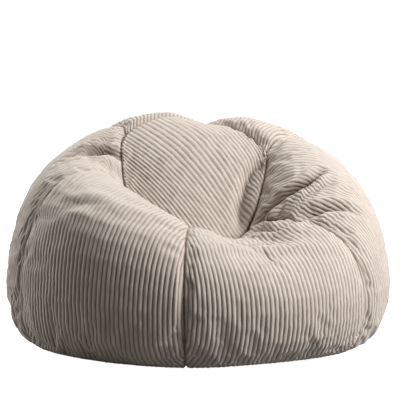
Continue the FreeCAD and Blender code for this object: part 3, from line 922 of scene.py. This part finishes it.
class Wiring:
    # short ways to add nodes and join them

    def __init__(self, tree):
        self.nodes, self.links = tree.nodes, tree.links

    def put(self, socket, value):
        if isinstance(value, bpy.types.NodeSocket):
            self.links.new(value, socket)
        else:
            socket.default_value = value

    def math(self, operation, *values, clamp=False):
        node = self.nodes.new("ShaderNodeMath")
        node.operation, node.use_clamp = operation, clamp
        for socket, value in zip(node.inputs, values):
            self.put(socket, value)
        return node.outputs[0]

    def vector(self, operation, *values):
        node = self.nodes.new("ShaderNodeVectorMath")
        node.operation = operation
        for socket, value in zip(node.inputs, values):
            self.put(socket, value)
        return node.outputs[0]

    def split(self, vector):
        node = self.nodes.new("ShaderNodeSeparateXYZ")
        self.put(node.inputs[0], vector)
        return node.outputs

    def noise(self, vector, scale, detail=2.0):
        node = self.nodes.new("ShaderNodeTexNoise")
        self.put(node.inputs["Vector"], vector)
        self.put(node.inputs["Scale"], scale)
        node.inputs["Detail"].default_value = detail
        return node.outputs["Fac"]

    def within(self, value, low, high):
        # how far value lies from low to high, 0 to 1
        node = self.nodes.new("ShaderNodeMapRange")
        self.put(node.inputs["Value"], value)
        self.put(node.inputs["From Min"], low)
        self.put(node.inputs["From Max"], high)
        return node.outputs[0]

    def mix(self, share, first, second):
        node = self.nodes.new("ShaderNodeMix")
        node.data_type = "RGBA"
        for label, value in (("Factor_Float", share), ("A_Color", first), ("B_Color", second)):
            self.put(next(s for s in node.inputs if s.identifier == label), value)
        return next(s for s in node.outputs if s.identifier == "Result_Color")

    def effect(self, group, **values):
        node = self.nodes.new("ShaderNodeGroup")
        node.node_tree = group
        for label, value in values.items():
            self.put(node.inputs[label], value)
        return node.outputs

    def attribute(self, name):
        node = self.nodes.new("ShaderNodeAttribute")
        node.attribute_name = name
        return node.outputs

    def bump(self, height, strength, distance, normal=None):
        node = self.nodes.new("ShaderNodeBump")
        node.inputs["Strength"].default_value = strength
        node.inputs["Distance"].default_value = distance
        self.links.new(height, node.inputs["Height"])
        if normal:
            self.links.new(normal, node.inputs["Normal"])
        return node.outputs[0]


def napEffect():
    # short fibres: a fine height, and patches where they lean one way or the other
    group, wire, given, result = effect("nap", {
        "in": [
            ("Place", "Vector"), ("Fibre", "Float", 0.0009), ("Patch", "Float", 0.03), ("Lean", "Float", 3.0),
        ],
        "out": [("Height", "Float"), ("Patches", "Float"), ("Specks", "Float")],
    })
    x, y, z = wire.split(given["Place"])
    stretched = wire.nodes.new("ShaderNodeCombineXYZ")
    for socket, value in zip(stretched.inputs, (x, wire.math("MULTIPLY", y, given["Lean"]), z)):
        wire.put(socket, value)
    fibres = wire.noise(stretched.outputs[0], wire.math("DIVIDE", 1.0, given["Fibre"]), 3.0)
    tufts = wire.noise(given["Place"], wire.math("DIVIDE", 0.25, given["Fibre"]), 2.0)
    patches = wire.noise(given["Place"], wire.math("DIVIDE", 1.0, given["Patch"]), 3.0)
    wire.put(result["Height"], wire.math("MULTIPLY", wire.math("ADD", fibres, tufts), 0.6))
    wire.put(result["Patches"], wire.within(patches, 0.32, 0.68))
    wire.put(result["Specks"], wire.within(fibres, 0.3, 0.7))
    return group


def weaveEffect():
    # plain weave: warp and weft pass over and under each other
    group, wire, given, result = effect("weave", {
        "in": [("Place", "Vector"), ("Thread", "Float", 0.001)],
        "out": [("Height", "Float"), ("Warp", "Float"), ("Slub", "Float")],
    })
    x, y, _ = wire.split(given["Place"])
    angle = wire.math("DIVIDE", math.pi, given["Thread"])
    acrossWarp = wire.math("SINE", wire.math("MULTIPLY", x, angle))
    acrossWeft = wire.math("SINE", wire.math("MULTIPLY", y, angle))
    over = wire.within(wire.math("MULTIPLY", acrossWarp, acrossWeft), -0.5, 0.5)
    warp = wire.math("MULTIPLY", wire.math("ABSOLUTE", acrossWarp), over)
    weft = wire.math("MULTIPLY", wire.math("ABSOLUTE", acrossWeft), wire.math("SUBTRACT", 1.0, over))
    wire.put(result["Height"], wire.math("MAXIMUM", warp, weft))
    wire.put(result["Warp"], over)
    slub = wire.noise(given["Place"], wire.math("DIVIDE", 0.12, given["Thread"]), 3.0)
    wire.put(result["Slub"], wire.within(slub, 0.3, 0.7))
    return group


def rubEffect():
    # rubbed high edges, and the hollows, from the bend of the surface; the zip coils take painted shade in
    # these hollows, and the metal parts are darker in them
    group, wire, given, result = effect("rub", {
        "in": [("Amount", "Float", 1.0)],
        "out": [("Rubbed", "Float"), ("Hollows", "Float")],
    })
    bend = wire.nodes.new("ShaderNodeNewGeometry").outputs["Pointiness"]
    place = wire.nodes.new("ShaderNodeTexCoord").outputs["Object"]
    uneven = wire.noise(place, 240.0, 3.0)
    rubbed = wire.within(wire.math("ADD", bend, wire.math("MULTIPLY", uneven, 0.06)), 0.53, 0.60)
    wire.put(result["Rubbed"], wire.math("MULTIPLY", rubbed, given["Amount"], clamp=True))
    hollow = wire.within(wire.math("SUBTRACT", 1.0, bend), 0.52, 0.60)
    wire.put(result["Hollows"], wire.math("MULTIPLY", hollow, given["Amount"], clamp=True))
    return group


nap, weave, rub = napEffect(), weaveEffect(), rubEffect()


# Materials

def newMaterial(name, **settings):
    material = bpy.data.materials.new(name)
    material.use_nodes = True
    shader = material.node_tree.nodes["Principled BSDF"]
    for label, value in settings.items():
        shader.inputs[label.replace("_", " ")].default_value = value
    return material, Wiring(material.node_tree), shader.inputs


cordLook = {
    "groove": (0.27, 0.206, 0.162, 1), "slope": (0.47, 0.400, 0.345, 1), "tip": (0.575, 0.515, 0.462, 1),
    "brushed": (0.65, 0.595, 0.54, 1), "fibre": 0.0011, "patch": 0.055,
    # crease is the colour of the painted shadow in the folds' creases, and creaseShade how strongly it is
    # painted
    "paintedCreaseShadow": (0.16, 0.115, 0.085, 1), "creaseShade": 0.78,
}


def cordMaterial():
    material, wire, shader = newMaterial(
        "wideCord", Sheen_Weight=0.45, Sheen_Roughness=0.45, Sheen_Tint=(1.0, 0.95, 0.89, 1),
        Specular_IOR_Level=0.15,
    )
    place = wire.attribute("cloth")["Vector"]
    pile = wire.attribute("pile")["Fac"]
    grain = wire.effect(nap, Place=place, Fibre=cordLook["fibre"], Patch=cordLook["patch"], Lean=2.0)
    specks = wire.math("MULTIPLY", wire.math("SUBTRACT", grain["Specks"], 0.5), 0.35)
    uneven = wire.math("ADD", pile, specks)
    rise = wire.mix(wire.within(uneven, 0.08, 0.62), cordLook["groove"], cordLook["slope"])
    top = wire.mix(wire.within(uneven, 0.55, 1.05), rise, cordLook["tip"])
    brushed = wire.math("MULTIPLY", grain["Patches"], wire.within(pile, 0.4, 1.0))
    colour = wire.mix(wire.math("MULTIPLY", brushed, 0.55), top, cordLook["brushed"])
    # painted shadow: the folds' creases are painted towards a dark brown
    paintedShade = wire.math("MULTIPLY", wire.attribute("paintedCreaseShadow")["Fac"], cordLook["creaseShade"])
    wire.put(shader["Base Color"], wire.mix(paintedShade, colour, cordLook["paintedCreaseShadow"]))
    wire.put(shader["Roughness"], wire.math("SUBTRACT", 0.95, wire.math("MULTIPLY", brushed, 0.18)))
    wire.put(shader["Normal"], wire.bump(grain["Height"], 0.55, 0.0012))
    return material


def wovenMaterial(name, colours, thread, roughness, **settings):
    # a plain woven cloth in two close colours
    material, wire, shader = newMaterial(name, **settings)
    place = wire.attribute("cloth")["Vector"]
    woven = wire.effect(weave, Place=place, Thread=thread)
    grain = wire.effect(nap, Place=place, Fibre=thread * 0.4, Patch=0.08, Lean=1.0)
    low, high = colours
    slub = wire.math("ADD", 0.7, wire.math("MULTIPLY", woven["Slub"], 0.3))
    tone = wire.math("MULTIPLY", woven["Height"], slub)
    wire.put(shader["Base Color"], wire.mix(wire.within(tone, 0.15, 0.95), low, high))
    rough = wire.math("MULTIPLY", grain["Patches"], 0.12)
    wire.put(shader["Roughness"], wire.math("ADD", roughness, rough))
    height = wire.math("ADD", woven["Height"], wire.math("MULTIPLY", grain["Height"], 0.25))
    wire.put(shader["Normal"], wire.bump(height, 0.6, thread * 0.35))
    return material


def nylonMaterial(name, colour, shade):
    material, wire, shader = newMaterial(name, Coat_Roughness=0.25, IOR=1.53)
    worn = wire.effect(rub, Amount=0.6)
    # painted shade: the coil's hollows are painted a darker copy of its colour, where its own turns would
    # shade it
    wire.put(shader["Base Color"], wire.mix(worn["Hollows"], colour, shade))
    wire.put(shader["Roughness"], wire.math("ADD", 0.30, wire.math("MULTIPLY", worn["Rubbed"], 0.2)))
    return material


def metalMaterial(name, colour, bare, roughness, grain):
    material, wire, shader = newMaterial(name, Metallic=1.0)
    worn = wire.effect(rub, Amount=1.0)
    place = wire.nodes.new("ShaderNodeTexCoord").outputs["Object"]
    brushed = wire.effect(nap, Place=place, Fibre=grain, Patch=0.01, Lean=8.0)
    colour = wire.mix(worn["Rubbed"], colour, bare)
    # darker in the hollows, found from the bend of the surface
    hollowDarkening = wire.math("MULTIPLY", worn["Hollows"], 0.5)
    wire.put(shader["Base Color"], wire.mix(hollowDarkening, colour, (0.2, 0.18, 0.16, 1)))
    specks = wire.math("MULTIPLY", brushed["Specks"], 0.15)
    wire.put(shader["Roughness"], wire.math("ADD", roughness, specks))
    wire.put(shader["Normal"], wire.bump(brushed["Height"], 0.25, 0.0002))
    return material


def beadMaterial():
    material, wire, shader = newMaterial("foamBeads", Subsurface_Weight=0.15, Subsurface_Scale=0.004)
    place = wire.nodes.new("ShaderNodeTexCoord").outputs["Object"]
    beadCells = wire.nodes.new("ShaderNodeTexVoronoi")
    wire.put(beadCells.inputs["Vector"], place)
    beadCells.inputs["Scale"].default_value = 210
    far = beadCells.outputs["Distance"]
    # painted shade: the beads are white, painted grey towards the edge of each bead where the next one shades
    # it
    white, gap = (0.93, 0.93, 0.92, 1), (0.55, 0.55, 0.56, 1)
    wire.put(shader["Base Color"], wire.mix(wire.within(far, 0.25, 0.75), white, gap))
    wire.put(shader["Roughness"], wire.math("ADD", 0.55, wire.math("MULTIPLY", far, 0.3)))
    wire.put(shader["Normal"], wire.bump(wire.math("SUBTRACT", 1.0, far), 0.9, 0.003))
    return material


def paint(pieces, material):
    for piece in pieces:
        piece.data.materials.clear()
        piece.data.materials.append(material)


paint(coverPieces, cordMaterial())
paint(basePieces, wovenMaterial(
    "baseCanvas", ((0.20, 0.155, 0.118, 1), (0.44, 0.37, 0.30, 1)), 0.0011, 0.78, Sheen_Weight=0.15,
))
paint(linerPieces, wovenMaterial(
    "linerCloth", ((0.62, 0.61, 0.58, 1), (0.86, 0.85, 0.82, 1)), 0.0007, 0.62, Sheen_Weight=0.1,
))
paint(tapes["cover"] + [stitches], wovenMaterial(
    "coverTape", ((0.26, 0.205, 0.16, 1), (0.52, 0.44, 0.36, 1)), 0.0008, 0.7, Sheen_Weight=0.1,
))
paint(tapes["liner"], wovenMaterial(
    "linerTape", ((0.60, 0.59, 0.57, 1), (0.83, 0.82, 0.80, 1)), 0.0008, 0.65, Sheen_Weight=0.1,
))
paint(coils["cover"], nylonMaterial("coverCoil", (0.50, 0.42, 0.34, 1), (0.22, 0.17, 0.13, 1)))
paint(coils["liner"], nylonMaterial("linerCoil", (0.82, 0.81, 0.79, 1), (0.5, 0.49, 0.47, 1)))
paint([beads], beadMaterial())
metalParts = [node for name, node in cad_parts.items() if name.endswith("_zip_slider")]
paint(metalParts, metalMaterial("sliderMetal", (0.36, 0.34, 0.31, 1), (0.78, 0.75, 0.70, 1), 0.32, 0.0003))
stopParts = [node for name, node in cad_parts.items() if name.endswith("_stop")]
paint(stopParts, metalMaterial("stopMetal", (0.62, 0.60, 0.57, 1), (0.85, 0.84, 0.82, 1), 0.28, 0.0002))
print("materials made")


# Light and floor

studio = {
    "key": {"place": (2.3, -0.75, 1.7), "size": 1.3, "power": 102},
    "top": {"place": (-0.2, 0.8, 2.5), "size": 2.4, "power": 50},
    "left": {"place": (-2.6, 0.75, 0.8), "size": 1.6, "power": 50},
    "fill": 0.058, "fillColour": (1.0, 0.76, 0.58, 1), "seen": 1.1, "floorGlow": 1.0, "floorBounce": 0.25,
}


def areaLight(name, place, size, power):
    light = bpy.data.lights.new(name, "AREA")
    light.size, light.energy = size, power
    lamp = bpy.data.objects.new(name, light)
    lamp.location = place
    lamp.rotation_euler = (Vector(place) - Vector((0, 0, 0.25))).to_track_quat("Z", "Y").to_euler()
    bpy.context.scene.collection.objects.link(lamp)


for name in ("key", "top", "left"):
    areaLight(name, **studio[name])


def seenApart(wire, lit, seen, output):
    # one surface for the light, and another for the camera
    path, mix = wire.nodes.new("ShaderNodeLightPath"), wire.nodes.new("ShaderNodeMixShader")
    sockets = path.outputs["Is Camera Ray"], lit.outputs[0], seen.outputs[0]
    for socket, value in zip(mix.inputs, sockets):
        wire.put(socket, value)
    wire.put(output.inputs["Surface"], mix.outputs[0])


world = bpy.data.worlds.new("studio")
bpy.context.scene.world = world
world.use_nodes = True
wire = Wiring(world.node_tree)
background, bright = wire.nodes["Background"], wire.nodes.new("ShaderNodeBackground")
background.inputs["Color"].default_value = studio["fillColour"]
background.inputs["Strength"].default_value = studio["fill"]
bright.inputs["Color"].default_value = (1, 1, 1, 1)
bright.inputs["Strength"].default_value = studio["seen"]
seenApart(wire, background, bright, wire.nodes["World Output"])

bpy.ops.mesh.primitive_plane_add(size=14, location=(0, 0, -0.0005))
floor = bpy.context.object
floor.name = "floor"
bounce = (studio["floorBounce"],) * 3 + (1,)
floorMaterial, wire, shader = newMaterial("paleFloor", Roughness=0.8, Base_Color=bounce)
seen = wire.nodes.new("ShaderNodeBsdfPrincipled")
seen.inputs["Base Color"].default_value = (0.85, 0.85, 0.85, 1)
seen.inputs["Roughness"].default_value = 0.8
seen.inputs["Emission Color"].default_value = (1, 1, 1, 1)
seen.inputs["Emission Strength"].default_value = studio["floorGlow"]
seenApart(wire, wire.nodes["Principled BSDF"], seen, wire.nodes["Material Output"])
floor.data.materials.append(floorMaterial)

scene = bpy.context.scene
scene.view_settings.view_transform = "Standard"
scene.view_settings.look = "None"
print("studio lit")
